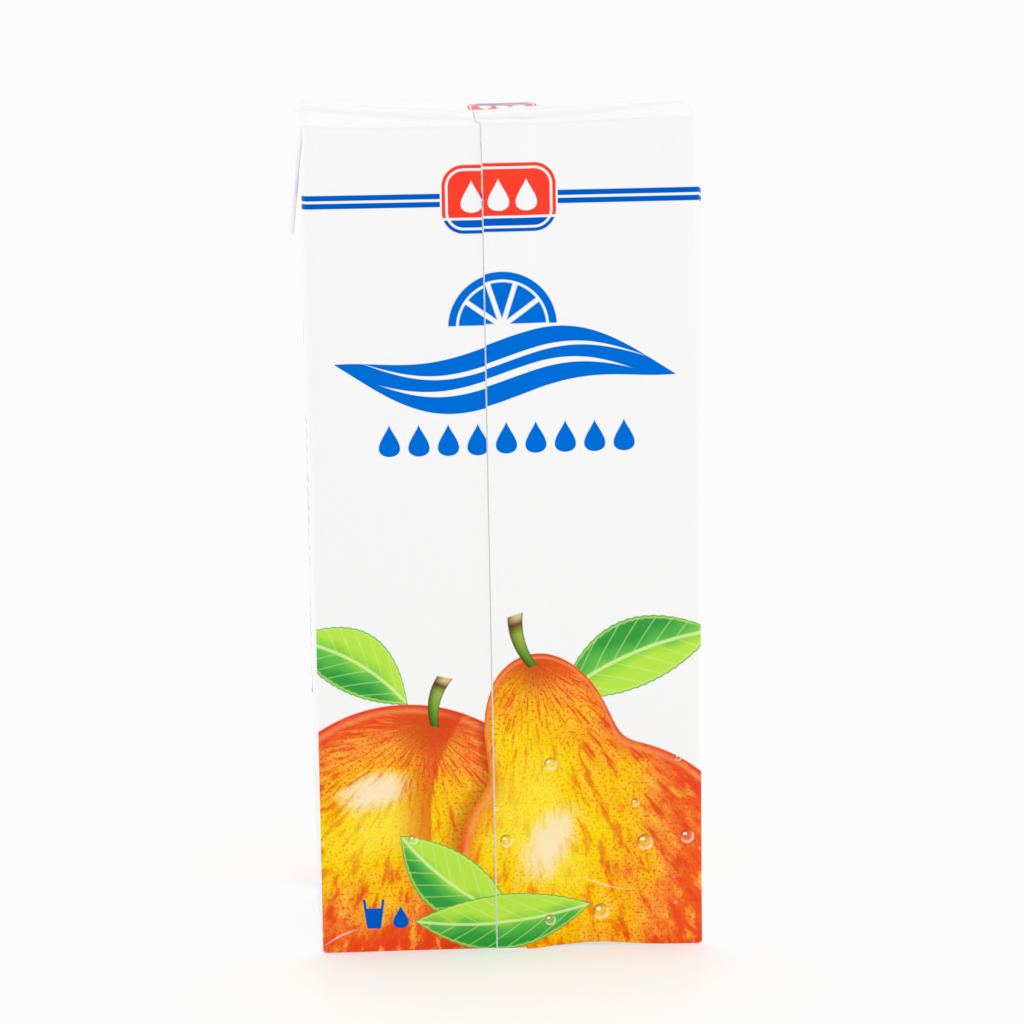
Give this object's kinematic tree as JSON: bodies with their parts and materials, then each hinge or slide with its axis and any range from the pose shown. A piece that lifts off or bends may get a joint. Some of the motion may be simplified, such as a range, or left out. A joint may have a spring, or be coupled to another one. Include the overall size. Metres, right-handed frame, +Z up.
{
  "type": "juice carton",
  "caption": "Shut brick carton for juice: a tall box of coated board with a flat top fin, two folded top ears and an overlap seam.",
  "frame": {"origin": "on the ground under the middle of the pack's outline", "axes": "+Z up along the tall side, +X along the wide side to the right, -Y towards the wide panel with the lengthwise seam"},
  "size_m": [0.0978, 0.0628, 0.1969],
  "materials": {
    "coated_board": "semi-gloss plastic coated board"
  },
  "bodies": {
    "root": {"carton": "coated_board"}
  },
  "joints": []
}
